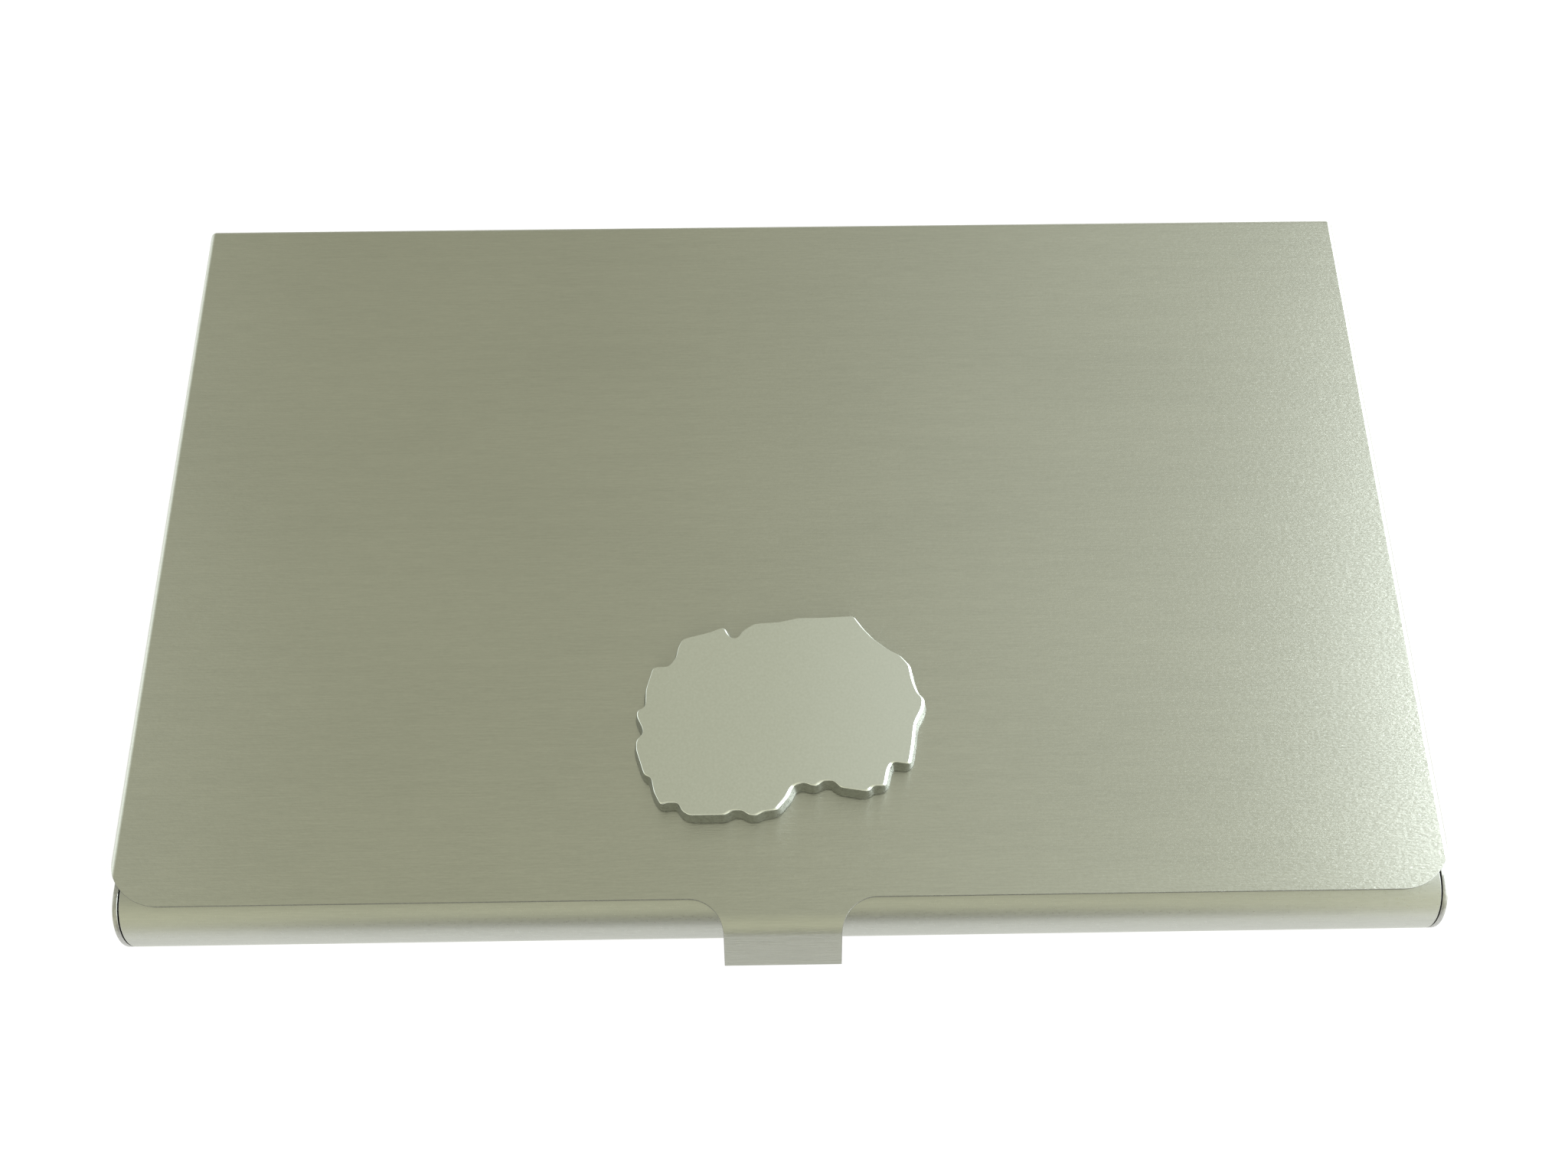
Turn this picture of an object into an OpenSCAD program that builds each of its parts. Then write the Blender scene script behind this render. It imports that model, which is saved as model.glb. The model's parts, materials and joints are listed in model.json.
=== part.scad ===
// Slim hinged card case of folded brushed sheet steel, with a round front roll,
// a thumb tab on the lid and a polished cast badge.
// Millimetres. The origin is the centre of the underside, +X to the right,
// +Y towards the hinge, +Z up. The case is drawn closed.

/* [Case] */
// Overall width across the lid
case_w = 94; // [92:0.5:100]
// Overall depth from the front of the roll to the rear of the lid
case_d = 57.7; // [56:0.1:64]
// Overall height of the closed case
case_h = 7; // [6.5:0.1:9]
// Thickness of the folded sheet
sheet_t = 0.35; // [0.3:0.05:0.5]

/* [Lid] */
// Distance from the front of the roll to the front edge of the lid
lid_setback = 2.25; // [1.8:0.05:2.8]
// Radius of the lid's two front corners, seen from above
lid_corner_r = 3.8; // [2:0.1:5]
// Outer radius of the lid's folded side and rear edges
lid_fold_r = 0.5; // [0.4:0.05:0.8]
// Height of the side flanges' lower edge above the underside
side_flange_z = 1; // [0.6:0.1:1.4]
// Radius of the side flanges' lower front corners
side_flange_r = 2.5; // [1:0.1:3]
// Width of the slits between the rear flange and the side flanges
lid_slit = 0.15; // [0.1:0.05:0.3]
// Height of the rear flange's lower edge above the hinge axis
rear_flange_rise = 0; // [0:0.1:1]

/* [Thumb tab] */
// Width of the tab
tab_w = 8.2; // [6:0.1:14]
// Radius of the fillets between the tab and the lid's front edge
tab_fillet_r = 2.5; // [1:0.1:3]
// Flat run in front of the lid's edge before the bend starts
tab_run = 1; // [0.8:0.1:2]
// Outer radius of the bend
tab_bend_r = 2; // [1.2:0.1:2.5]
// Angle that the tab is bent down by
tab_angle = 50; // [30:1:65]
// Straight length after the bend
tab_tip = 2.7; // [1.5:0.1:3]

/* [Tray] */
// Depth of the lip that the roll ends in, under the lid
lip_d = 5; // [2:0.5:8]
// Angle above the horizontal at which the rear curl ends
curl_end_angle = 35; // [10:1:60]
// Slit between an end wall and the ends of the roll and the curl
end_slit = 0.1; // [0.05:0.05:0.3]
// Outer radius of the fold between the bottom and an end wall
tray_fold_r = 0.4; // [0.4:0.05:0.6]

/* [Hinge] */
// Radius of the rivet shanks
rivet_r = 1; // [0.8:0.05:1.2]
// Radius of the round outer rivet heads
rivet_head_r = 1.7; // [1.4:0.05:2]
// Height of the outer rivet heads
rivet_head_h = 0.45; // [0.3:0.05:0.6]
// Radius of the flat inner rivet heads
rivet_foot_r = 1.5; // [1.3:0.05:2]
// Thickness of the inner rivet heads
rivet_foot_t = 0.35; // [0.2:0.05:0.5]

/* [Badge] */
// Thickness of the badge
badge_t = 1.65; // [1:0.05:3]
// Radius that the badge's outline is rounded with
badge_round_r = 0.25; // [0.1:0.05:0.3]
// Thickness of the glue film
adhesive_t = 0.15; // [0.1:0.05:0.3]
// How far the glue film stays inside the badge's outline
adhesive_inset = 1.2; // [0.5:0.1:2]

/* [Clearances] */
// Gap between the lid's top sheet and the tray
gap_top = 0.05; // [0.05:0.01:0.1]
// Gap between a side flange and the tray's end wall
gap_side = 0.1; // [0.05:0.01:0.2]
// Gap between the rear flange and the tray's rear curl
gap_rear = 0.25; // [0.2:0.01:0.4]
// Radial clearance of the rivet shank in the side flange
gap_rivet = 0.05; // [0.03:0.01:0.08]

/* [Hidden] */
$fn = 96;

// margin by which a cutting shape passes the surface that it cuts
over = 1;

steel = [0.72, 0.73, 0.70];
rivet_steel = [0.62, 0.63, 0.62];
polished_nickel = [0.80, 0.80, 0.77];
clear_glue = [0.85, 0.84, 0.78];

front_y = -case_d / 2;
rear_y = case_d / 2;
lid_front_y = front_y + lid_setback;
lid_under_z = case_h - sheet_t;

// the tray is as high as the roll: the roll, the curl and the end walls share one radius
tray_h = lid_under_z - gap_top;
roll_r = tray_h / 2;
roll_y = front_y + roll_r;
hinge_z = roll_r;
hinge_y = rear_y - sheet_t - gap_rear - roll_r;
wall_out_x = case_w / 2 - sheet_t - gap_side;
wall_in_x = wall_out_x - sheet_t;
roll_end_x = wall_in_x - end_slit;

// half the width and the front end of the fillets beside the tab
tab_root_x = tab_w / 2 + tab_fillet_r;
tab_fillet_y = lid_front_y - tab_fillet_r;
side_flange_y = lid_front_y + lid_corner_r;

// how far the badge's centre lies in front of the case's
badge_y = -13.8;

// outline of the badge about its own centre, clockwise from its lower left corner
badge_points = [
    [-8.4, -6.6], [-8.9, -5.6], [-9.1, -4.6], [-9.6, -4.4], [-10.2, -2.6], [-10.2, -1.9],
    [-9.7, -1.4], [-9.8, -1.0], [-10.2, -0.2], [-10.2, 0.3], [-9.6, 0.5], [-9.6, 1.8],
    [-9.1, 3.5], [-8.0, 3.5], [-7.5, 4.1], [-7.3, 5.0], [-7.0, 5.6], [-6.2, 5.8],
    [-5.0, 6.1], [-4.0, 6.5], [-3.5, 5.6], [-3.0, 5.6], [-2.6, 6.2], [-1.8, 6.7],
    [0.0, 6.8], [1.4, 7.1], [3.0, 7.1], [5.5, 7.2], [6.2, 6.2], [6.9, 5.4],
    [7.9, 4.6], [8.8, 4.1], [9.5, 3.3], [9.7, 2.1], [10.0, 1.2], [10.4, 0.8],
    [10.3, 0.1], [10.0, -0.4], [9.7, -1.0], [9.5, -2.4], [9.2, -3.9], [7.9, -3.7],
    [7.6, -4.4], [7.4, -5.4], [6.5, -5.4], [6.1, -5.8], [4.2, -5.5], [3.7, -5.0],
    [3.0, -5.0], [2.4, -5.4], [1.6, -5.1], [0.9, -5.3], [0.5, -6.1], [-0.3, -7.0],
    [-1.2, -7.1], [-1.8, -7.4], [-2.3, -7.3], [-2.7, -7.0], [-3.4, -7.0], [-3.9, -7.3],
    [-6.4, -7.3], [-6.9, -7.0], [-7.2, -6.4], [-8.0, -6.4]
];

// a square centred on x that reaches from y0 to y1
module band(w, y0, y1) {
    translate([-w / 2, y0]) square([w, y1 - y0]);
}

// extrudes a profile drawn in Y and Z across the width, centred on X = 0
module across(w) {
    translate([-w / 2, 0, 0]) rotate([90, 0, 90]) linear_extrude(w) children();
}

// extrudes a profile drawn in X and Z from y0 back to y1
module along(y0, y1) {
    translate([0, y1, 0]) rotate([90, 0, 0]) linear_extrude(y1 - y0) children();
}

// a rectangle from y = 0 up to h whose two lower corners are rounded
module round_foot(w, h, r) {
    band(w, r, h);
    band(w - 2 * r, 0, h);
    for (side = [-1, 1]) translate([side * (w / 2 - r), r]) circle(r);
}

// part of a ring of sheet, from angle a0 to a1, less than half a turn
module sheet_arc(r, a0, a1) {
    reach = 4 * r;
    difference() {
        circle(r);
        circle(r - sheet_t);
        // two half planes leave only the wedge between the angles
        rotate(a0) translate([-reach, -reach]) square([2 * reach, reach]);
        rotate(a1) translate([-reach, 0]) square([2 * reach, reach]);
    }
}

// side view of the tray's end walls: as high as the roll and round at both ends
module end_wall_outline() {
    translate([roll_y, 0]) square([hinge_y - roll_y, tray_h]);
    translate([roll_y, roll_r]) circle(roll_r);
    translate([hinge_y, hinge_z]) circle(roll_r);
}

// side view of the sheet between the end walls: roll, lip and rear curl
module roll_and_curl() {
    difference() {
        translate([roll_y, roll_r]) circle(roll_r);
        translate([roll_y, roll_r]) circle(roll_r - sheet_t);
        translate([roll_y, -over]) square([roll_r + over, tray_h + 2 * over]);
    }
    translate([roll_y, tray_h - sheet_t]) square([lip_d, sheet_t]);
    translate([hinge_y, hinge_z]) sheet_arc(roll_r, -90, curl_end_angle);
}

module base_tray() {
    color(steel)
    difference() {
        union() {
            along(roll_y, hinge_y) difference() {
                round_foot(2 * wall_out_x, tray_h, tray_fold_r);
                band(2 * wall_in_x, sheet_t, tray_h + over);
            }
            difference() {
                across(2 * wall_out_x) end_wall_outline();
                translate([-wall_in_x, -case_d, -over])
                    cube([2 * wall_in_x, 2 * case_d, case_h + 2 * over]);
                // the walls' straight stretch is part of the folded channel
                translate([-case_w, roll_y, -over]) cube([2 * case_w, hinge_y - roll_y, case_h + 2 * over]);
            }
            across(2 * roll_end_x) roll_and_curl();
        }
        for (side = [-1, 1]) translate([side * wall_in_x, hinge_y, hinge_z])
            rotate([0, 90, 0]) cylinder(r = rivet_r, h = 4 * sheet_t, center = true);
    }
}

// plan of the lid without its tab: large round front corners, small round rear ones
module lid_plan() {
    corner_y = lid_front_y + lid_corner_r;
    band(case_w, corner_y, rear_y - lid_fold_r);
    band(case_w - 2 * lid_fold_r, corner_y, rear_y);
    band(case_w - 2 * lid_corner_r, lid_front_y, corner_y);
    for (side = [-1, 1]) {
        translate([side * (case_w / 2 - lid_corner_r), corner_y]) circle(lid_corner_r);
        translate([side * (case_w / 2 - lid_fold_r), rear_y - lid_fold_r]) circle(lid_fold_r);
    }
}

// side view of the lid's outside: the top sheet, and the flanges round the hinge
module lid_side() {
    flange_r = rear_y - hinge_y;
    difference() {
        union() {
            translate([lid_front_y, lid_under_z]) square([rear_y - lid_front_y, sheet_t]);
            translate([side_flange_y, side_flange_z + side_flange_r])
                square([hinge_y - side_flange_y, case_h - side_flange_z - side_flange_r]);
            translate([side_flange_y + side_flange_r, side_flange_z])
                square([hinge_y - side_flange_y - side_flange_r, case_h - side_flange_z]);
            translate([side_flange_y + side_flange_r, side_flange_z + side_flange_r]) circle(side_flange_r);
            translate([hinge_y, hinge_z]) circle(flange_r);
            translate([hinge_y, hinge_z]) square([flange_r, case_h - hinge_z]);
        }
        translate([front_y, -case_h]) square([case_d + over, case_h + side_flange_z]);
        translate([front_y, case_h]) square([case_d + over, case_h]);
        // rounds the fold between the top and the rear flange
        translate([rear_y - lid_fold_r, case_h - lid_fold_r]) difference() {
            square(lid_fold_r + over);
            circle(lid_fold_r);
        }
    }
}

// side view of the thumb tab: a flat run, the bend and the straight tip
module tab_side() {
    translate([lid_front_y - tab_run, lid_under_z]) square([tab_run + over, sheet_t]);
    translate([lid_front_y - tab_run, case_h - tab_bend_r]) {
        sheet_arc(tab_bend_r, 90, 90 + tab_angle);
        rotate(tab_angle) translate([-tab_tip, tab_bend_r - sheet_t]) square([tab_tip, sheet_t]);
    }
}

// plan of the tab and the fillets that join it to the lid's front edge
module tab_plan() {
    band(tab_w, lid_front_y - case_h, lid_front_y + over);
    difference() {
        band(2 * tab_root_x, tab_fillet_y, lid_front_y + over);
        for (side = [-1, 1]) translate([side * tab_root_x, tab_fillet_y]) circle(tab_fillet_r);
    }
}

module lid() {
    inner_w = case_w - 2 * sheet_t;
    color(steel)
    difference() {
        union() {
            intersection() {
                translate([0, 0, case_h]) mirror([0, 0, 1]) along(lid_front_y, rear_y)
                    round_foot(case_w, case_h, lid_fold_r);
                across(case_w) lid_side();
                linear_extrude(case_h) lid_plan();
            }
            intersection() {
                across(2 * tab_root_x) tab_side();
                linear_extrude(case_h) tab_plan();
            }
        }
        translate([-inner_w / 2, lid_front_y + over, -over])
            cube([inner_w, rear_y - sheet_t - lid_front_y - over, lid_under_z + over]);
        translate([-inner_w / 2, hinge_y, -over])
            cube([inner_w, roll_r + case_h, hinge_z + rear_flange_rise + over]);
        // slits that part the rear flange from the side flanges
        for (side = [-1, 1]) translate([side * (case_w / 2 - lid_fold_r - lid_slit / 2), rear_y, hinge_z])
            linear_extrude(case_h - lid_fold_r - hinge_z) square([lid_slit, 4 * sheet_t], center = true);
        for (side = [-1, 1]) translate([side * case_w / 2, hinge_y, hinge_z])
            rotate([0, 90, 0]) cylinder(r = rivet_r + gap_rivet, h = 4 * sheet_t, center = true);
    }
}

// a rivet on the +X side: flat inner head, shank and low domed outer head
module rivet() {
    foot_x = wall_in_x - rivet_foot_t;
    head_x = case_w / 2 + gap_rivet;
    translate([0, hinge_y, hinge_z]) rotate([0, 90, 0]) {
        translate([0, 0, foot_x]) cylinder(r = rivet_foot_r, h = rivet_foot_t);
        translate([0, 0, foot_x]) cylinder(r = rivet_r, h = head_x - foot_x);
        translate([0, 0, head_x]) rivet_dome();
    }
}

// a shallow dome of the head's radius and height
module rivet_dome() {
    ball_r = (rivet_head_r * rivet_head_r + rivet_head_h * rivet_head_h) / (2 * rivet_head_h);
    intersection() {
        translate([0, 0, rivet_head_h - ball_r]) sphere(ball_r);
        cylinder(r = rivet_head_r, h = rivet_head_h);
    }
}

module hinge_rivet_left() {
    color(rivet_steel) mirror([1, 0, 0]) rivet();
}

module hinge_rivet_right() {
    color(rivet_steel) rivet();
}

// the badge's outline with its corners and notches rounded
module badge_outline() {
    translate([0, badge_y]) offset(r = -badge_round_r, $fn = 24) offset(r = 2 * badge_round_r, $fn = 24)
        offset(r = -badge_round_r, $fn = 24) polygon(badge_points);
}

module badge() {
    color(polished_nickel) translate([0, 0, case_h + adhesive_t]) linear_extrude(badge_t) badge_outline();
}

module badge_adhesive() {
    color(clear_glue) translate([0, 0, case_h]) linear_extrude(adhesive_t)
        offset(delta = -adhesive_inset) badge_outline();
}

base_tray();
lid();
hinge_rivet_left();
hinge_rivet_right();
badge();
badge_adhesive();
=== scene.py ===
"""Business card case: folded brushed-steel tray and lid, polished badge, rivets, studio light and camera."""

import json
import math

import bmesh
import bpy
from mathutils import Euler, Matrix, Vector


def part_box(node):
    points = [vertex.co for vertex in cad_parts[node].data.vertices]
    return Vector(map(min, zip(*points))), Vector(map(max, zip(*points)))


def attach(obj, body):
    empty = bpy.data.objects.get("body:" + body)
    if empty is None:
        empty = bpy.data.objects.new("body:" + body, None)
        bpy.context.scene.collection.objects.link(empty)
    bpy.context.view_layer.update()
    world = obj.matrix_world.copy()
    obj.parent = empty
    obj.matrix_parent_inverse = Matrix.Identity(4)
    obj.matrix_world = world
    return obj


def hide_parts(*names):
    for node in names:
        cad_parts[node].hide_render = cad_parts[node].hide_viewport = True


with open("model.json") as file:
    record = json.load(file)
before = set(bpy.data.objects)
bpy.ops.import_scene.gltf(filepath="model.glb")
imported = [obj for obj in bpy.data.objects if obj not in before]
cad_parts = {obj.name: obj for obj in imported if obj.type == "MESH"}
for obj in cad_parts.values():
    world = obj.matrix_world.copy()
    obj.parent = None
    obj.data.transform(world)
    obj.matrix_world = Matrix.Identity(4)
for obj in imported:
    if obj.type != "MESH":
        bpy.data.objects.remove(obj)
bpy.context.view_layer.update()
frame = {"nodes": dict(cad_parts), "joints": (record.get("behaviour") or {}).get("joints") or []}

# All sizes below are in millimetres, and meshes are scaled to metres as they are made.
MM = 0.001


def box_mm(node):
    """The lowest and highest corner of a CAD node, in millimetres."""
    low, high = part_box(node)
    return [Vector(round(c / MM, 3) for c in corner) for corner in (low, high)]


LID_LOW, LID_HIGH = box_mm("lid")
TRAY_LOW, TRAY_HIGH = box_mm("base_tray")
BADGE_LOW, BADGE_HIGH = box_mm("badge")
RIVET_LOW, RIVET_HIGH = box_mm("hinge_rivet_right")
HINGE = Vector(frame["joints"][0]["pos_m"]) / MM

# The sheet's thickness, and the radii that round the cut rims of the two sheets.
SHEET = 0.35
LID_RIM = 0.07
TRAY_RIM = 0.04

# Lid: its folds, round front corners, setback from the roll's front, the slits at its rear corners, and
# the side flanges with their round lower corner and their hole.
LID_FOLD = 0.5
LID_CORNER = 3.8
LID_SETBACK = 2.25
LID_FRONT = TRAY_LOW.y + LID_SETBACK
LID_SLIT = 0.15
FLANGE_BOTTOM = LID_LOW.z
FLANGE_CORNER = 2.5
HOLE_IN_LID = 1.05

# Thumb tab: half its width, the fillets beside it, the flat run before its bend, the bend, and its tip.
TAB_HALF = 4.1
TAB_FILLET = 2.5
TAB_RUN = 1.0
TAB_BEND = 2.0
TAB_ANGLE = math.radians(50)
TAB_TIP = 2.7

# Tray: the radius and the middle of its front roll, the slits at the roll's ends, the lip behind it, the
# rear curl, the folds of the end walls with the notches at their ends, and the holes.
ROLL = TRAY_HIGH.z / 2
ROLL_Y = TRAY_LOW.y + ROLL
END_SLIT = 0.1
ROLL_END = TRAY_HIGH.x - SHEET - END_SLIT
LIP = 5.0
CURL_ANGLE = math.radians(125)
TRAY_FOLD = 0.4
TRAY_NOTCH = 0.2
HOLE_IN_WALL = 1.0

# Rivets: the domed outer head, whose dome ends short of a small rounded rim, and the flat inner head.
RIVET_HEAD = (RIVET_HIGH.y - RIVET_LOW.y) / 2
RIVET_HEAD_HEIGHT = 0.45
RIVET_DOME_SHARE = 0.94
RIVET_RIM_HEIGHT = 0.05
RIVET_RIM_INSET = 0.01
RIVET_CHAMFER = 0.04
RIVET_FOOT = 1.5
RIVET_FOOT_THICK = 0.35
RIVET_FOOT_CHAMFER = 0.06

# Badge: its flanks slope outwards to its foot, and its upper edge is polished rounder towards BADGE_RIGHT.
BADGE_SLOPE = 0.28
BADGE_FOOT = 0.08
BADGE_EDGE = 0.05
BADGE_EDGE_RIGHT = 0.28
BADGE_RIGHT = Vector((0.94, -0.34))
BADGE_STEP = 0.1

# Steps along the curved stretches.
FOLD_STEPS = 8
CORNER_STEPS = 6
HOLE_STEPS = 24
ROLL_STEPS = 64
CURL_STEPS = 44
WALL_END_STEPS = 48
BADGE_STEPS = 8

# The map that carries each sheet's flat blank, and its scale.
GRAIN_UV = "Sheet"
UV_PER_MM = 0.01


# ---------------------------------------------------------------- mesh tools


def steps(start, end, count):
    """count + 1 even values from start to end."""
    return [start + (end - start) * k / count for k in range(count + 1)]


def arc(centre, radius, start, end, count):
    """Points on an arc in a plane, angles in degrees."""
    return [
        (centre[0] + radius * math.cos(a), centre[1] + radius * math.sin(a))
        for a in steps(math.radians(start), math.radians(end), count)
    ]


class FoldedSheet:
    """A folded sheet given by its outer face: each point has a normal and a place on the flat blank."""

    def __init__(self):
        self.known = {}
        self.points = []
        self.normals = []
        self.blank = []
        self.faces = []

    def point(self, place, normal, blank):
        """The index of a point, which is made once."""
        key = tuple(round(c, 4) for c in place)
        if key not in self.known:
            self.known[key] = len(self.points)
            self.points.append(Vector(place))
            self.normals.append(Vector(normal))
            self.blank.append(Vector(blank))
        return self.known[key]

    def face(self, indices):
        """Adds one face."""
        self.faces.append(list(indices))

    def rows(self, rows):
        """Faces between neighbouring rows of points. Points that coincide are left out."""
        for a, b in zip(rows, rows[1:]):
            for k in range(len(a) - 1):
                corners = [a[k], a[k + 1], b[k + 1], b[k]]
                self.face(dict.fromkeys(corners))

    def free_edges(self):
        """The edges that only one face has."""
        count = {}
        for face in self.faces:
            for a, b in zip(face, face[1:] + face[:1]):
                count[frozenset((a, b))] = count.get(frozenset((a, b)), 0) + 1
        return [tuple(edge) for edge, n in count.items() if n == 1]

    def solid(self, name, rim):
        """The sheet as a closed mesh of the sheet's thickness, with its rims rounded to a radius."""
        n = len(self.points)
        inner = [p - SHEET * normal for p, normal in zip(self.points, self.normals)]
        bm = bmesh.new()
        verts = [bm.verts.new(p * MM) for p in self.points + inner]
        for face in self.faces:
            bm.faces.new([verts[k] for k in face])
            bm.faces.new([verts[k + n] for k in reversed(face)])
        rims = [
            bm.faces.new([verts[a], verts[b], verts[b + n], verts[a + n]])
            for a, b in self.free_edges()
        ]
        # Rims take the sheet's second finish, whose darker tone is partly painted shade.
        for face in rims:
            face.material_index = 1
        self.map_blank(bm)
        bmesh.ops.recalc_face_normals(bm, faces=bm.faces)
        round_rims(bm, rims, rim)
        return mesh_object(name, bm)

    def map_blank(self, bm):
        """Lays the mesh's map out as the flat blank, with the inner side moved over a little."""
        blank = self.blank + [b + Vector((SHEET, SHEET)) for b in self.blank]
        bm.verts.index_update()
        uv = bm.loops.layers.uv.new(GRAIN_UV)
        for face in bm.faces:
            for loop in face.loops:
                loop[uv].uv = blank[loop.vert.index] * UV_PER_MM


def round_rims(bm, rims, radius):
    """Rounds the edges between the rim faces and the sheet's two sides."""
    rim_faces = set(rims)
    sharp = [e for e in bm.edges if len(rim_faces.intersection(e.link_faces)) == 1]
    bmesh.ops.bevel(
        bm,
        geom=sharp,
        offset=radius * MM,
        offset_type="OFFSET",
        segments=2,
        profile=0.5,
        affect="EDGES",
        clamp_overlap=True,
        material=1,
    )


def mesh_object(name, bm):
    """A smooth-shaded object from a bmesh, with normals that keep its flat faces flat."""
    mesh = bpy.data.meshes.new(name)
    bm.to_mesh(mesh)
    bm.free()
    mesh.shade_smooth()
    piece = bpy.data.objects.new(name, mesh)
    bpy.context.scene.collection.objects.link(piece)
    weighted = piece.modifiers.new("flat_faces", "WEIGHTED_NORMAL")
    weighted.mode = "FACE_AREA"
    weighted.weight = 100
    weighted.keep_sharp = True
    return piece


def lathe(name, profile, centre, side, count=72):
    """A turned piece about an axis along X. The profile gives (x, radius) from one pole to the other."""
    bm = bmesh.new()
    rings = []
    for x, radius in profile:
        if radius == 0:
            rings.append([bm.verts.new(Vector((side * x, centre.y, centre.z)) * MM)])
            continue
        ring = []
        for k in range(count):
            a = 2 * math.pi * k / count
            place = Vector((side * x, centre.y + radius * math.cos(a), centre.z + radius * math.sin(a)))
            ring.append(bm.verts.new(place * MM))
        rings.append(ring)
    for a, b in zip(rings, rings[1:]):
        for k in range(count):
            corners = [a[k % len(a)], a[(k + 1) % len(a)], b[(k + 1) % len(b)], b[k % len(b)]]
            bm.faces.new(list(dict.fromkeys(corners)))
    bmesh.ops.recalc_face_normals(bm, faces=bm.faces)
    return mesh_object(name, bm)


# ---------------------------------------------------------------- lid


def corner_arc_y(x):
    """Where the lid's round front corner lies at a distance x from the middle."""
    centre_x = LID_HIGH.x - LID_CORNER
    return LID_FRONT + LID_CORNER - math.sqrt(max(0, LID_CORNER**2 - (x - centre_x) ** 2))


def tab_half_width(y):
    """Half the tab's width at y, with the fillets that join it to the lid."""
    centre_y = LID_FRONT - TAB_FILLET
    if y <= centre_y:
        return TAB_HALF
    return TAB_HALF + TAB_FILLET - math.sqrt(TAB_FILLET**2 - (y - centre_y) ** 2)


def lid_front_outline():
    """The right half of the lid's front edge in plan, from the tab's bend to the side fold."""
    fold_x = LID_HIGH.x - LID_FOLD
    fillet_end = math.degrees(math.asin((TAB_FILLET - TAB_RUN) / TAB_FILLET))
    fillet = arc((TAB_HALF + TAB_FILLET, LID_FRONT - TAB_FILLET), TAB_FILLET, 180 - fillet_end, 90, 12)
    reach = math.degrees(math.acos((fold_x - LID_HIGH.x + LID_CORNER) / LID_CORNER))
    corner = arc((LID_HIGH.x - LID_CORNER, LID_FRONT + LID_CORNER), LID_CORNER, -90, -reach, 20)
    return fillet + corner


def lid_top(sheet):
    """The flat top, one face."""
    fold_x = LID_HIGH.x - LID_FOLD
    rear = LID_HIGH.y - LID_FOLD
    right = lid_front_outline()
    right += [(fold_x, HINGE.y), (fold_x, rear), (fold_x - LID_SLIT, rear)]
    left = [(-x, y) for x, y in reversed(right)]
    sheet.face(sheet.point((x, y, LID_HIGH.z), (0, 0, 1), (x, y)) for x, y in left + right)


def lid_side_fold(sheet, side):
    """The fold between the top and a side flange. Its front ends follow the round corner."""
    fold_x = LID_HIGH.x - LID_FOLD
    rows = []
    for a in steps(0, math.pi / 2, FOLD_STEPS):
        x = fold_x + LID_FOLD * math.sin(a)
        z = LID_HIGH.z - LID_FOLD * (1 - math.cos(a))
        blank_x = side * (fold_x + LID_FOLD * a)
        normal = (side * math.sin(a), 0, math.cos(a))
        ends = (corner_arc_y(x), HINGE.y, LID_HIGH.y - LID_FOLD)
        rows.append([sheet.point((side * x, y, z), normal, (blank_x, y)) for y in ends])
    sheet.rows(rows)


def lid_side_flange(sheet, side):
    """A side flange in two faces, which meet at the rivet's hole."""
    fold_z = LID_HIGH.z - LID_FOLD
    flange_front = LID_FRONT + LID_CORNER
    rear = LID_HIGH.y - LID_FOLD
    radius = LID_HIGH.y - HINGE.y
    start = -math.degrees(math.asin((HINGE.z - FLANGE_BOTTOM) / radius))
    end = -math.degrees(math.acos((rear - HINGE.y) / radius))
    corner = arc((flange_front + FLANGE_CORNER, FLANGE_BOTTOM + FLANGE_CORNER), FLANGE_CORNER, 180, 270, 16)
    hinge = (HINGE.y, HINGE.z)
    front_part = [(flange_front, fold_z)] + corner + [(HINGE.y, FLANGE_BOTTOM)]
    front_part += arc(hinge, HOLE_IN_LID, 270, 90, HOLE_STEPS) + [(HINGE.y, fold_z)]
    rear_part = [(HINGE.y, fold_z)] + arc(hinge, HOLE_IN_LID, 90, -90, HOLE_STEPS)
    rear_part += [(HINGE.y, FLANGE_BOTTOM)] + arc(hinge, radius, start, end, 4) + [(rear, fold_z)]
    blank_x = LID_HIGH.x - LID_FOLD + LID_FOLD * math.pi / 2
    for part in (front_part, rear_part):
        sheet.face(
            sheet.point((side * LID_HIGH.x, y, z), (side, 0, 0), (side * (blank_x + fold_z - z), y))
            for y, z in part
        )


def lid_rear_corner(sheet, side):
    """The ball-shaped rear corner of the top and the rounded upright edge under it."""
    centre = Vector((LID_HIGH.x - LID_FOLD, LID_HIGH.y - LID_FOLD, LID_HIGH.z - LID_FOLD))
    radius = LID_HIGH.y - HINGE.y
    turns = steps(0, math.pi / 2, CORNER_STEPS)
    ball = []
    for a in steps(0, math.pi / 2, FOLD_STEPS):
        row = []
        for turn in turns:
            way = Vector((math.sin(a) * math.cos(turn), math.sin(a) * math.sin(turn), math.cos(a)))
            place = centre + LID_FOLD * way
            blank = (centre.x + LID_FOLD * a * math.cos(turn), centre.y + LID_FOLD * a * math.sin(turn))
            row.append(mirrored_point(sheet, side, place, way, blank))
        ball.append(row)
    sheet.rows(ball)
    upright = []
    for turn in turns:
        way = Vector((math.cos(turn), math.sin(turn), 0))
        place = centre + LID_FOLD * way
        foot = HINGE.z - math.sqrt(max(0, radius**2 - (place.y - HINGE.y) ** 2))
        ends = []
        for z in (centre.z, foot):
            blank = (centre.x + LID_FOLD * math.pi / 2 + centre.z - z, centre.y + LID_FOLD * turn)
            ends.append(mirrored_point(sheet, side, Vector((place.x, place.y, z)), way, blank))
        upright.append(ends)
    sheet.rows(upright)


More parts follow.
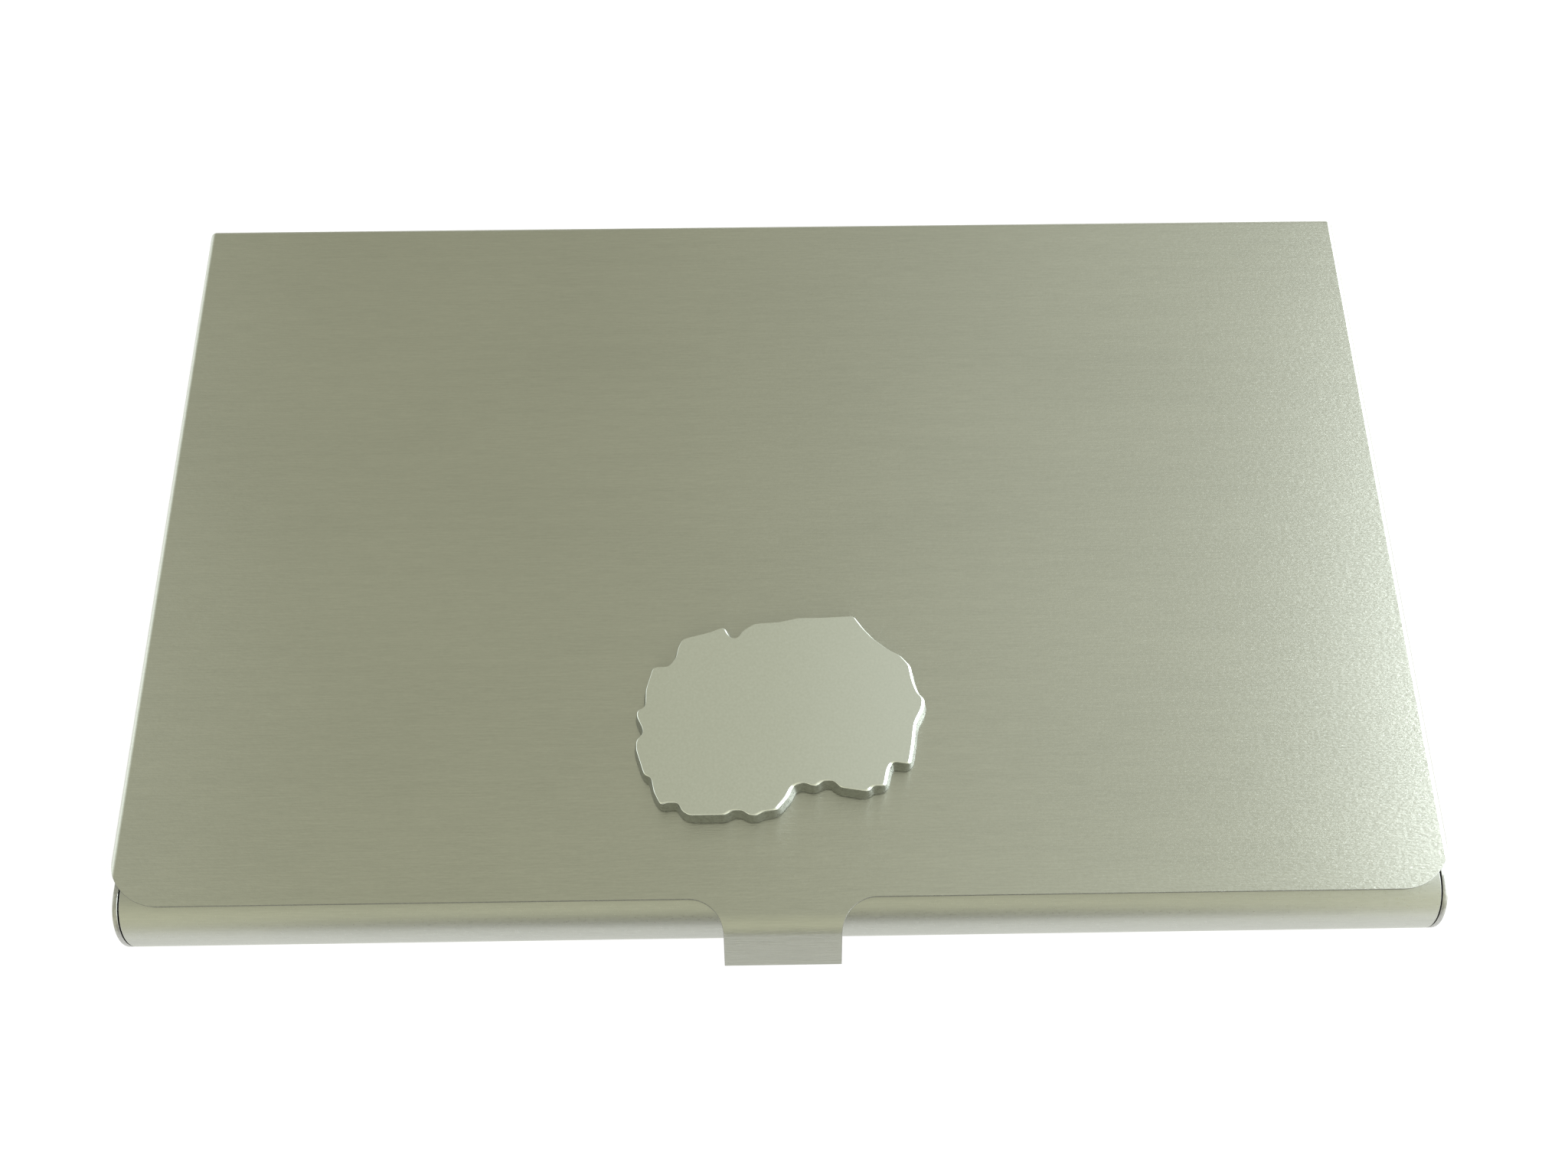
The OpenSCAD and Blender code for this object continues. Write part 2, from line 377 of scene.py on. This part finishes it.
def mirrored_point(sheet, side, place, normal, blank):
    """A point of the +X half, or its mirror image when side is -1."""
    mirror = Vector((side, 1, 1))
    return sheet.point(place * mirror, normal * mirror, (side * blank[0], blank[1]))


def lid_rear(sheet):
    """The rear fold and the rear flange, which slits part from the side flanges."""
    fold_x = LID_HIGH.x - LID_FOLD
    across = [-fold_x, LID_SLIT - fold_x, fold_x - LID_SLIT, fold_x]
    rows = []
    for a in steps(0, math.pi / 2, FOLD_STEPS):
        y = LID_HIGH.y - LID_FOLD * (1 - math.sin(a))
        z = LID_HIGH.z - LID_FOLD * (1 - math.cos(a))
        blank_y = LID_HIGH.y - LID_FOLD + LID_FOLD * a
        normal = (0, math.sin(a), math.cos(a))
        rows.append([sheet.point((x, y, z), normal, (x, blank_y)) for x in across])
    sheet.rows(rows)
    top, foot = LID_HIGH.z - LID_FOLD, HINGE.z
    blank_top = LID_HIGH.y - LID_FOLD + LID_FOLD * math.pi / 2
    corners = [(across[1], top), (across[2], top), (across[2], foot), (across[1], foot)]
    sheet.face(
        sheet.point((x, LID_HIGH.y, z), (0, 1, 0), (x, blank_top + top - z)) for x, z in corners
    )


def lid_tab(sheet):
    """The thumb tab: its bend and its straight tip."""
    bend_y = LID_FRONT - TAB_RUN
    rows = []
    for a in steps(0, TAB_ANGLE, 16):
        y = bend_y - TAB_BEND * math.sin(a)
        z = LID_HIGH.z - TAB_BEND * (1 - math.cos(a))
        half = tab_half_width(y)
        blank_y = bend_y - TAB_BEND * a
        normal = (0, -math.sin(a), math.cos(a))
        rows.append([sheet.point((x, y, z), normal, (x, blank_y)) for x in (-half, half)])
    y -= TAB_TIP * math.cos(TAB_ANGLE)
    z -= TAB_TIP * math.sin(TAB_ANGLE)
    rows.append([sheet.point((x, y, z), normal, (x, blank_y - TAB_TIP)) for x in (-TAB_HALF, TAB_HALF)])
    sheet.rows(rows)


def make_lid():
    """The lid as one folded sheet."""
    sheet = FoldedSheet()
    lid_top(sheet)
    lid_rear(sheet)
    lid_tab(sheet)
    for side in (-1, 1):
        lid_side_fold(sheet, side)
        lid_side_flange(sheet, side)
        lid_rear_corner(sheet, side)
    return sheet.solid("folded_lid", LID_RIM)


# ---------------------------------------------------------------- tray


def tray_bottom(sheet):
    """The flat bottom between the folds, the roll and the curl."""
    fold_x = TRAY_HIGH.x - TRAY_FOLD
    front, rear = ROLL_Y + TRAY_NOTCH, HINGE.y - TRAY_NOTCH
    right = [(ROLL_END, ROLL_Y), (ROLL_END, front), (fold_x, front)]
    right += [(fold_x, rear), (ROLL_END, rear), (ROLL_END, HINGE.y)]
    left = [(-x, y) for x, y in reversed(right)]
    sheet.face(sheet.point((x, y, 0), (0, 0, -1), (x, y)) for x, y in right + left)


def tray_round(sheet, centre_y, way, turn, count):
    """A stretch rolled up from the bottom sheet: way is -1 at the front and 1 at the rear."""
    rows = []
    for a in steps(0, turn, count):
        y = centre_y + way * ROLL * math.sin(a)
        z = ROLL * (1 - math.cos(a))
        normal = (0, way * math.sin(a), -math.cos(a))
        blank_y = centre_y + way * ROLL * a
        rows.append([sheet.point((x, y, z), normal, (x, blank_y)) for x in (-ROLL_END, ROLL_END)])
    sheet.rows(rows)
    return rows[-1]


def tray_lip(sheet, roll_top):
    """The flat lip behind the roll, under the lid's front edge."""
    blank_y = ROLL_Y - ROLL * math.pi - LIP
    place = (ROLL_Y + LIP, TRAY_HIGH.z)
    ends = [sheet.point((x, *place), (0, 0, 1), (x, blank_y)) for x in (-ROLL_END, ROLL_END)]
    sheet.rows([roll_top, ends])


def tray_side_fold(sheet, side):
    """The fold between the bottom and an end wall."""
    rows = []
    for a in steps(0, math.pi / 2, CORNER_STEPS):
        x = TRAY_HIGH.x - TRAY_FOLD * (1 - math.sin(a))
        z = TRAY_FOLD * (1 - math.cos(a))
        blank_x = side * (TRAY_HIGH.x - TRAY_FOLD + TRAY_FOLD * a)
        normal = (side * math.sin(a), 0, -math.cos(a))
        ends = (ROLL_Y + TRAY_NOTCH, HINGE.y - TRAY_NOTCH)
        rows.append([sheet.point((side * x, y, z), normal, (blank_x, y)) for y in ends])
    sheet.rows(rows)


def tray_end_wall(sheet, side):
    """An end wall with round ends, in two faces that meet at the rivet's hole."""
    hinge = (HINGE.y, HINGE.z)
    front_part = [(y, TRAY_FOLD) for y in (ROLL_Y, ROLL_Y + TRAY_NOTCH, HINGE.y - TRAY_NOTCH, HINGE.y)]
    front_part += arc(hinge, HOLE_IN_WALL, 270, 90, HOLE_STEPS) + [(HINGE.y, TRAY_HIGH.z)]
    front_part += arc((ROLL_Y, ROLL), ROLL, 90, 270, WALL_END_STEPS)
    rear_part = [(HINGE.y, TRAY_FOLD)] + arc(hinge, ROLL, -90, 90, WALL_END_STEPS)
    rear_part += arc(hinge, HOLE_IN_WALL, 90, -90, HOLE_STEPS)
    blank_x = TRAY_HIGH.x - TRAY_FOLD + TRAY_FOLD * (math.pi / 2 - 1)
    for part in (front_part, rear_part):
        sheet.face(
            sheet.point((side * TRAY_HIGH.x, y, z), (side, 0, 0), (side * (blank_x + z), y))
            for y, z in part
        )


def make_tray():
    """The tray as one folded sheet."""
    sheet = FoldedSheet()
    tray_bottom(sheet)
    roll_top = tray_round(sheet, ROLL_Y, -1, math.pi, ROLL_STEPS)
    tray_lip(sheet, roll_top)
    tray_round(sheet, HINGE.y, 1, CURL_ANGLE, CURL_STEPS)
    for side in (-1, 1):
        tray_side_fold(sheet, side)
        tray_end_wall(sheet, side)
    return sheet.solid("folded_tray", TRAY_RIM)


# ---------------------------------------------------------------- rivets


def make_rivet(name, side):
    """Domed outer head with a rounded rim, shank and flat inner head."""
    wall_inside = TRAY_HIGH.x - SHEET
    foot_x = wall_inside - RIVET_FOOT_THICK
    head_x = RIVET_HIGH.x - RIVET_HEAD_HEIGHT
    ball = (RIVET_HEAD**2 + RIVET_HEAD_HEIGHT**2) / (2 * RIVET_HEAD_HEIGHT)
    reach = math.asin(RIVET_HEAD / ball)
    profile = [(RIVET_HIGH.x, 0)]
    for a in steps(0, RIVET_DOME_SHARE * reach, 14)[1:]:
        profile.append((RIVET_HIGH.x - ball * (1 - math.cos(a)), ball * math.sin(a)))
    profile += [
        (head_x + RIVET_RIM_HEIGHT, RIVET_HEAD - RIVET_RIM_INSET),
        (head_x, RIVET_HEAD - RIVET_CHAMFER),
        (head_x, HOLE_IN_WALL),
        (wall_inside, HOLE_IN_WALL),
        (wall_inside, RIVET_FOOT - RIVET_CHAMFER),
        (wall_inside - RIVET_CHAMFER, RIVET_FOOT),
        (foot_x + RIVET_FOOT_CHAMFER, RIVET_FOOT),
        (foot_x, RIVET_FOOT - RIVET_FOOT_CHAMFER),
        (foot_x, 0),
    ]
    return lathe(name, profile, HINGE, side)


# ---------------------------------------------------------------- badge


def top_outline(node):
    """The outline of a CAD node's top face in order, in millimetres."""
    bm = bmesh.new()
    bm.from_mesh(node.data)
    bmesh.ops.remove_doubles(bm, verts=bm.verts, dist=1e-7)
    top = max(v.co.z for v in bm.verts)
    flat = [f for f in bm.faces if min(v.co.z for v in f.verts) > top - 1e-7]
    inside = set(flat)
    after = {}
    for face in flat:
        for loop in face.loops:
            if not inside.issuperset(loop.edge.link_faces):
                after[loop.vert] = loop.link_loop_next.vert
    vert = next(iter(after))
    outline = []
    while len(outline) < len(after):
        outline.append(vert.co.xy / MM)
        vert = after[vert]
    bm.free()
    return outline


def resampled(outline, step):
    """The same closed outline with points an even step apart."""
    lengths = [(b - a).length for a, b in zip(outline, outline[1:] + outline[:1])]
    total = sum(lengths)
    count = round(total / step)
    made = []
    travelled = 0
    k = 0
    for n in range(count):
        target = total * n / count
        while travelled + lengths[k] < target:
            travelled += lengths[k]
            k += 1
        share = (target - travelled) / lengths[k]
        made.append(outline[k].lerp(outline[(k + 1) % len(outline)], share))
    return made


def outward(outline):
    """The outward direction at each point of an outline that runs anticlockwise."""
    n = len(outline)
    sides = [(outline[(k + 1) % n] - outline[k - 1]).normalized() for k in range(n)]
    return [Vector((along.y, -along.x)) for along in sides]


def inset(outline, distances):
    """The outline moved inwards by a distance for each point."""
    ways = outward(outline)
    return [p - distance * way for p, way, distance in zip(outline, ways, distances)]


def softened(values, passes):
    """Values round a closed outline, blended with their neighbours."""
    n = len(values)
    for _ in range(passes):
        values = [0.5 * values[k] + 0.25 * (values[k - 1] + values[(k + 1) % n]) for k in range(n)]
    return values


def badge_edge_radii(outline):
    """How round the upper edge is at each point."""
    more = [max(0, way.dot(BADGE_RIGHT)) ** 2 for way in outward(outline)]
    return [BADGE_EDGE + (BADGE_EDGE_RIGHT - BADGE_EDGE) * share for share in softened(more, 4)]


def badge_flank(outline, radii):
    """Rings of (point, height) from the foot up to where the rounded upper edge starts."""
    tops = [BADGE_HIGH.z - radius for radius in radii]
    bottom = BADGE_LOW.z + BADGE_FOOT
    ring = outline
    rings = []
    for level in steps(0, 1, BADGE_STEPS):
        rings.append([(p, top + (bottom - top) * level) for p, top in zip(ring, tops)])
        ring = softened(inset(ring, [-BADGE_SLOPE / BADGE_STEPS] * len(ring)), 1)
    return rings[::-1]


def badge_upper_edge(outline, radii):
    """Rings of (point, height) over the rounded upper edge, up to the top face."""
    ring = outline
    rings = []
    turns = steps(0, math.pi / 2, BADGE_STEPS)
    for a, further in zip(turns, turns[1:]):
        share = math.cos(a) - math.cos(further)
        ring = softened(inset(ring, [radius * share for radius in radii]), 1)
        rings.append([(p, BADGE_HIGH.z - radius * (1 - math.sin(further))) for p, radius in zip(ring, radii)])
    return rings


def make_badge():
    """The badge with sloping sides and a rounded, polished upper edge."""
    outline = softened(resampled(top_outline(frame["nodes"]["badge"]), BADGE_STEP), 2)
    count = len(outline)
    radii = badge_edge_radii(outline)
    flank = badge_flank(outline, radii)
    foot = inset([p for p, z in flank[0]], [BADGE_FOOT] * count)
    flank.insert(0, [(p, BADGE_LOW.z) for p in foot])
    rings = flank + badge_upper_edge(outline, radii)
    bm = bmesh.new()
    made = [[bm.verts.new(Vector((p.x, p.y, z)) * MM) for p, z in ring] for ring in rings]
    for level, (a, b) in enumerate(zip(made, made[1:])):
        for k in range(count):
            face = bm.faces.new([a[k], a[(k + 1) % count], b[(k + 1) % count], b[k]])
            # Flank faces take the second finish, painted dark as shade.
            face.material_index = 1 if level < len(flank) - 1 else 0
    bm.faces.new(made[-1])
    bm.faces.new(list(reversed(made[0]))).material_index = 1
    bmesh.ops.recalc_face_normals(bm, faces=bm.faces)
    return mesh_object("cast_badge", bm)


# ---------------------------------------------------------------- materials

# Noise seldom leaves this range.
NOISE_LOW = 0.3
NOISE_HIGH = 0.7

# The darkest and the lightest tone of each finish.
LID_TONES = (0.55, 0.56, 0.51, 1), (0.65, 0.66, 0.60, 1)
# The tray's steel: the lid's brushed steel, made darker.
TRAY_TONES = (0.49, 0.50, 0.46, 1), (0.58, 0.59, 0.54, 1)
# The lid's rims: duller cut steel, and darker still as painted shade under the lid's front edge.
CUT_AND_SHADE_TONES = (0.20, 0.20, 0.19, 1), (0.32, 0.32, 0.30, 1)
# The tray's rims: duller cut steel, and darker partly as painted shade along the seams.
TRAY_CUT_AND_SHADE_TONES = (0.40, 0.40, 0.38, 1), (0.52, 0.52, 0.50, 1)
NICKEL_TONES = (0.83, 0.86, 0.82, 1), (0.87, 0.90, 0.86, 1)
# The badge's sides, painted dark as shade round its foot.
CAST_SIDE_SHADE_TONES = (0.26, 0.27, 0.25, 1), (0.38, 0.39, 0.36, 1)
RIVET_TONES = (0.50, 0.51, 0.48, 1), (0.62, 0.63, 0.59, 1)
GLUE_TONES = (0.62, 0.60, 0.50, 1), (0.74, 0.72, 0.62, 1)


class Nodes:
    """A material's or world's node tree, with short calls to add and link nodes."""

    def __init__(self, owner):
        owner.use_nodes = True
        self.tree = owner.node_tree
        self.tree.nodes.clear()

    def add(self, kind, inputs=None, **settings):
        """A new node. Each input is a value or the socket that feeds it."""
        node = self.tree.nodes.new(kind)
        for key, value in settings.items():
            setattr(node, key, value)
        for key, value in (inputs or {}).items():
            if isinstance(value, bpy.types.NodeSocket):
                self.tree.links.new(value, node.inputs[key])
            else:
                node.inputs[key].default_value = value
        return node

    def noise(self, coords, per_mm, detail, roughness=0.5):
        """Noise in the plane of the sheet, stretched to the two frequencies given, in waves per mm."""
        scale = (per_mm[0] / UV_PER_MM, per_mm[1] / UV_PER_MM, 1)
        mapped = self.add("ShaderNodeMapping", {"Vector": coords, "Scale": scale})
        inputs = {"Vector": mapped.outputs[0], "Scale": 1, "Detail": detail, "Roughness": roughness}
        return self.add("ShaderNodeTexNoise", inputs, noise_dimensions="2D").outputs["Fac"]

    def ranged(self, value, low, high, to_low, to_high):
        """A value brought from one range to another, and held inside it."""
        inputs = {"Value": value, "From Min": low, "From Max": high, "To Min": to_low, "To Max": to_high}
        return self.add("ShaderNodeMapRange", inputs).outputs["Result"]

    def spread(self, noise, low, high):
        """Noise brought to a range."""
        return self.ranged(noise, NOISE_LOW, NOISE_HIGH, low, high)

    def plus(self, a, b):
        """The sum of two values."""
        return self.add("ShaderNodeMath", {0: a, 1: b}, operation="ADD").outputs[0]

    def blend(self, share, a, b, blend_type="MIX"):
        """A mix of two colours."""
        node = self.add("ShaderNodeMix", data_type="RGBA", blend_type=blend_type)
        for socket, value in ((0, share), (6, a), (7, b)):
            if isinstance(value, bpy.types.NodeSocket):
                self.tree.links.new(value, node.inputs[socket])
            else:
                node.inputs[socket].default_value = value
        return node.outputs[2]

    def mixed(self, blend_type, a, b):
        """Two colours fully combined."""
        return self.blend(1, a, b, blend_type)

    def toned(self, noise, tones):
        """A colour between two tones that follows a noise."""
        return self.blend(self.spread(noise, 0, 1), *tones)

    def surface(self, inputs):
        """The material's shader and output."""
        shader = self.add("ShaderNodeBsdfPrincipled", inputs)
        self.add("ShaderNodeOutputMaterial", {"Surface": shader.outputs[0]})


def grey(level):
    """An opaque grey."""
    return (level, level, level, 1)


def brushed_steel(name, tones, roughness, depth):
    """Satin steel brushed along its blank's X: fine scratches, broader streaks and a few bright nicks."""
    material = bpy.data.materials.new(name)
    nodes = Nodes(material)
    coords = nodes.add("ShaderNodeUVMap", uv_map=GRAIN_UV).outputs[0]
    hairs = nodes.noise(coords, (0.5, 9), 3, 0.6)
    streaks = nodes.noise(coords, (0.05, 1.6), 2)
    clouds = nodes.noise(coords, (0.05, 0.08), 2)
    flecks = nodes.noise(coords, (2.5, 7), 3, 0.7)
    # The four shares of the tone add up to 1.
    tone = nodes.plus(nodes.spread(hairs, 0, 0.4), nodes.spread(streaks, 0, 0.15))
    tone = nodes.plus(tone, nodes.spread(flecks, 0, 0.25))
    tone = nodes.plus(tone, nodes.spread(clouds, 0, 0.2))
    relief = nodes.plus(flecks, hairs)
    bump = nodes.add("ShaderNodeBump", {"Height": relief, "Strength": 1, "Distance": depth})
    tangent = nodes.add("ShaderNodeTangent", direction_type="UV_MAP", uv_map=GRAIN_UV)
    nodes.surface({
        "Base Color": nodes.blend(tone, *tones),
        "Metallic": 1,
        "Roughness": nodes.spread(flecks, roughness - 0.03, roughness + 0.03),
        "Anisotropic": 0.9,
        "Anisotropic Rotation": 0.25,
        "Tangent": tangent.outputs[0],
        "Normal": bump.outputs[0],
    })
    return material


def cut_edge_with_painted_shade(name, tones):
    """The sheet's sheared rims: duller and darker than its faces, with marks across the cut. Their darker
    tone is partly painted shade, for the dark line under the lid's front edge and along the seams.
    """
    material = bpy.data.materials.new(name)
    nodes = Nodes(material)
    marks = object_noise(nodes, 5, 3)
    colour = nodes.toned(marks, tones)
    rough = nodes.spread(marks, 0.32, 0.45)
    nodes.surface({"Base Color": colour, "Metallic": 1, "Roughness": rough})
    return material


def object_noise(nodes, per_mm, detail):
    """Noise through the piece's own space, at one frequency in waves per mm."""
    coords = nodes.add("ShaderNodeTexCoord").outputs["Object"]
    inputs = {"Vector": coords, "Scale": per_mm / MM, "Detail": detail}
    return nodes.add("ShaderNodeTexNoise", inputs).outputs["Fac"]


def polished_nickel(name):
    """Bright plating with faint waviness and slight variation in its polish."""
    material = bpy.data.materials.new(name)
    nodes = Nodes(material)
    waves = object_noise(nodes, 0.35, 2)
    grit = object_noise(nodes, 6, 3)
    colour = nodes.toned(grit, NICKEL_TONES)
    rough = nodes.spread(grit, 0.10, 0.16)
    bump = nodes.add("ShaderNodeBump", {"Height": waves, "Strength": 1, "Distance": 3e-6})
    nodes.surface({"Base Color": colour, "Metallic": 1, "Roughness": rough, "Normal": bump.outputs[0]})
    return material


def cast_side_painted_shade(name):
    """The badge's darker, unpolished sides, with a fine cast grain. Their dark tone is painted shade and
    painted dark reflection, for the dark band round the badge's foot.
    """
    material = bpy.data.materials.new(name)
    nodes = Nodes(material)
    grain = object_noise(nodes, 4, 3)
    colour = nodes.toned(grain, CAST_SIDE_SHADE_TONES)
    rough = nodes.spread(grain, 0.25, 0.38)
    bump = nodes.add("ShaderNodeBump", {"Height": grain, "Strength": 1, "Distance": 1e-5})
    nodes.surface({"Base Color": colour, "Metallic": 1, "Roughness": rough, "Normal": bump.outputs[0]})
    return material


def turned_steel(name):
    """Rivet steel: darker, with small pits and a slightly uneven polish."""
    material = bpy.data.materials.new(name)
    nodes = Nodes(material)
    mottle = object_noise(nodes, 1.2, 3)
    pits = object_noise(nodes, 9, 2)
    colour = nodes.toned(mottle, RIVET_TONES)
    rough = nodes.spread(mottle, 0.22, 0.34)
    bump = nodes.add("ShaderNodeBump", {"Height": pits, "Strength": 0.6, "Distance": 3e-6})
    nodes.surface({"Base Color": colour, "Metallic": 1, "Roughness": rough, "Normal": bump.outputs[0]})
    return material


def clear_glue(name):
    """A thin, glossy, slightly yellow layer of glue."""
    material = bpy.data.materials.new(name)
    nodes = Nodes(material)
    body = object_noise(nodes, 0.8, 2)
    colour = nodes.blend(body, *GLUE_TONES)
    rough = nodes.spread(body, 0.15, 0.3)
    nodes.surface({"Base Color": colour, "Roughness": rough, "IOR": 1.47})
    return material


def glowing_table(name):
    """A table that glows white with painted light, bright enough near the case to show no shadow, and
    brighter to the right.
    """
    material = bpy.data.materials.new(name)
    nodes = Nodes(material)
    place = nodes.add("ShaderNodeTexCoord").outputs["Object"]
    away = nodes.add("ShaderNodeVectorMath", {0: place}, operation="LENGTH").outputs["Value"]
    x = nodes.add("ShaderNodeSeparateXYZ", {0: place}).outputs["X"]
    # Painted light: the glow is strongest round the case, where it hides the case's shadow, and grows to the
    # right.
    glow_round_case = nodes.ranged(away, 0.1, 0.6, 0.96, 0.5)
    glow_on_the_right = nodes.ranged(x, 0.055, 0.15, 0, 1.0)
    nodes.surface({
        "Base Color": grey(0.08),
        "Roughness": 0.9,
        "Emission Color": (1, 1, 0.99, 1),
        "Emission Strength": nodes.plus(glow_round_case, glow_on_the_right),
    })
    return material


# ---------------------------------------------------------------- pieces


def finish_piece(piece, body, node, slot, *materials):
    """Puts a piece on its body in place of a CAD node, with its finish."""
    for material in materials:
        piece.data.materials.append(material)
    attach(piece, body)
    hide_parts(node)


def dress_cad_node(node, material):
    """Gives a CAD node that stays its finish."""
    data = frame["nodes"][node].data
    data.materials.clear()
    data.materials.append(material)


def make_object():
    """Every piece of the case on its body, with its finish."""
    lid_steel = brushed_steel("brushed_steel", LID_TONES, 0.31, 9e-6)
    # The tray's steel is darker than the lid's.
    tray_steel = brushed_steel("darker_tray_steel", TRAY_TONES, 0.3, 1e-6)
    rivet_steel = turned_steel("turned_steel")
    # The lid's rim finish, darker partly as painted shade.
    lid_edge = cut_edge_with_painted_shade("cut_edge_with_painted_shade", CUT_AND_SHADE_TONES)
    # The tray's rim finish, darker partly as painted shade.
    tray_edge = cut_edge_with_painted_shade("tray_cut_edge_and_shade", TRAY_CUT_AND_SHADE_TONES)
    finish_piece(make_tray(), "tray", "base_tray", "tray_steel", tray_steel, tray_edge)
    finish_piece(make_lid(), "lid", "lid", "lid_steel", lid_steel, lid_edge)
    for word, side in (("left", -1), ("right", 1)):
        node = f"hinge_rivet_{word}"
        finish_piece(make_rivet(f"turned_rivet_{word}", side), "tray", node, "rivet_steel", rivet_steel)
    nickel = polished_nickel("polished_nickel")
    # The badge's sides, painted dark as shade.
    sides = cast_side_painted_shade("cast_side_painted_shade")
    finish_piece(make_badge(), "lid", "badge", "badge_metal", nickel, sides)
    dress_cad_node("badge_adhesive", clear_glue("clear_glue"))


# ---------------------------------------------------------------- stage

# Half the table's size, in metres.
TABLE_HALF = 2.0

# The camera's place, its turn in radians and its lens, for the usual sensor 36 mm wide.
CAMERA_PLACE = Vector((-0.339, -38.868, 101.157))
CAMERA_TURN = Euler((0.3577, -0.0028, -0.0146))
CAMERA_LENS = 30.66
SENSOR_WIDTH = 36

# Levels of the room's light by how far back (Y) and how far to the right (X) a direction points.
ROOM_BY_Y = [(-1, 0.03), (-0.95, 0.06), (-0.88, 0.85), (-0.7, 0.85), (-0.35, 0.6), (-0.05, 0.47), (0.2, 0.43)]
GLOW_BY_X = [
    (-1, 1.2), (-0.8, 0.8), (-0.6, 0.25), (-0.45, 0.1), (-0.35, 0), (-0.15, 0.02),
    (0, 0.06), (0.1, 0.16), (0.2, 0.18), (0.3, 0.24), (0.38, 0.32), (0.44, 0.45),
]
GLOW_BY_Y = [(-0.35, 0.03), (-0.1, 1), (0.55, 1), (0.8, 0.4)]
WINDOW_BY_X = [(0.45, 0), (0.52, 1.6), (0.62, 11), (0.82, 11), (0.9, 2)]
WINDOW_BY_Y = [(-0.6, 0), (-0.4, 0.45), (0, 0.65), (0.3, 1.2), (0.5, 0.8), (0.65, 0.1)]
ROOM_TINT = (1, 1, 0.76, 1)
LIGHT_TINT = (0.93, 1, 1.05, 1)


def make_floor():
    """The plain table top, which glows with painted light."""
    half = TABLE_HALF
    corners = [(-half, -half, 0), (half, -half, 0), (half, half, 0), (-half, half, 0)]
    mesh = bpy.data.meshes.new("table_top")
    mesh.from_pydata(corners, [], [(0, 1, 2, 3)])
    mesh.materials.append(glowing_table("glowing_table"))
    floor = bpy.data.objects.new("table_top", mesh)
    bpy.context.scene.collection.objects.link(floor)


def ramp(nodes, value, stops):
    """A grey level that follows a value through the given (value, level) stops, for values from -1 to 1."""
    share = nodes.ranged(value, -1, 1, 0, 1)
    node = nodes.add("ShaderNodeValToRGB", {0: share})
    while len(node.color_ramp.elements) < len(stops):
        node.color_ramp.elements.new(1)
    for element, (at, level) in zip(node.color_ramp.elements, stops):
        element.position = (at + 1) / 2
        element.color = grey(level)
    return node.outputs["Color"]


def make_sky():
    """Soft room light, brighter to the front and the sides, with a strong window low on the right."""
    world = bpy.data.worlds.new("room")
    bpy.context.scene.world = world
    nodes = Nodes(world)
    way = nodes.add("ShaderNodeTexCoord").outputs["Generated"]
    parts = nodes.add("ShaderNodeSeparateXYZ", {0: way}).outputs
    room = nodes.mixed("MULTIPLY", ramp(nodes, parts["Y"], ROOM_BY_Y), ROOM_TINT)
    glow_x = ramp(nodes, parts["X"], GLOW_BY_X)
    glow_y = ramp(nodes, parts["Y"], GLOW_BY_Y)
    window_x = ramp(nodes, parts["X"], WINDOW_BY_X)
    window_y = ramp(nodes, parts["Y"], WINDOW_BY_Y)
    glow = nodes.mixed("MULTIPLY", glow_x, glow_y)
    window = nodes.mixed("MULTIPLY", window_x, window_y)
    light = nodes.mixed("MULTIPLY", nodes.mixed("ADD", glow, window), LIGHT_TINT)
    sky = nodes.mixed("ADD", room, light)
    back = nodes.add("ShaderNodeBackground", {"Color": sky, "Strength": 1})
    nodes.add("ShaderNodeOutputWorld", {"Surface": back.outputs[0]})


def make_camera():
    """A close camera in front of the case, tipped a little from straight down."""
    data = bpy.data.cameras.new("camera")
    data.sensor_width = SENSOR_WIDTH
    data.lens = CAMERA_LENS
    data.clip_start = 0.005
    camera = bpy.data.objects.new("camera", data)
    camera.location = CAMERA_PLACE * MM
    camera.rotation_euler = CAMERA_TURN
    bpy.context.scene.collection.objects.link(camera)
    bpy.context.scene.camera = camera


def make_stage():
    """Table, light and camera."""
    make_floor()
    make_sky()
    make_camera()
    bpy.context.scene.view_settings.view_transform = "Standard"


make_object()
make_stage()
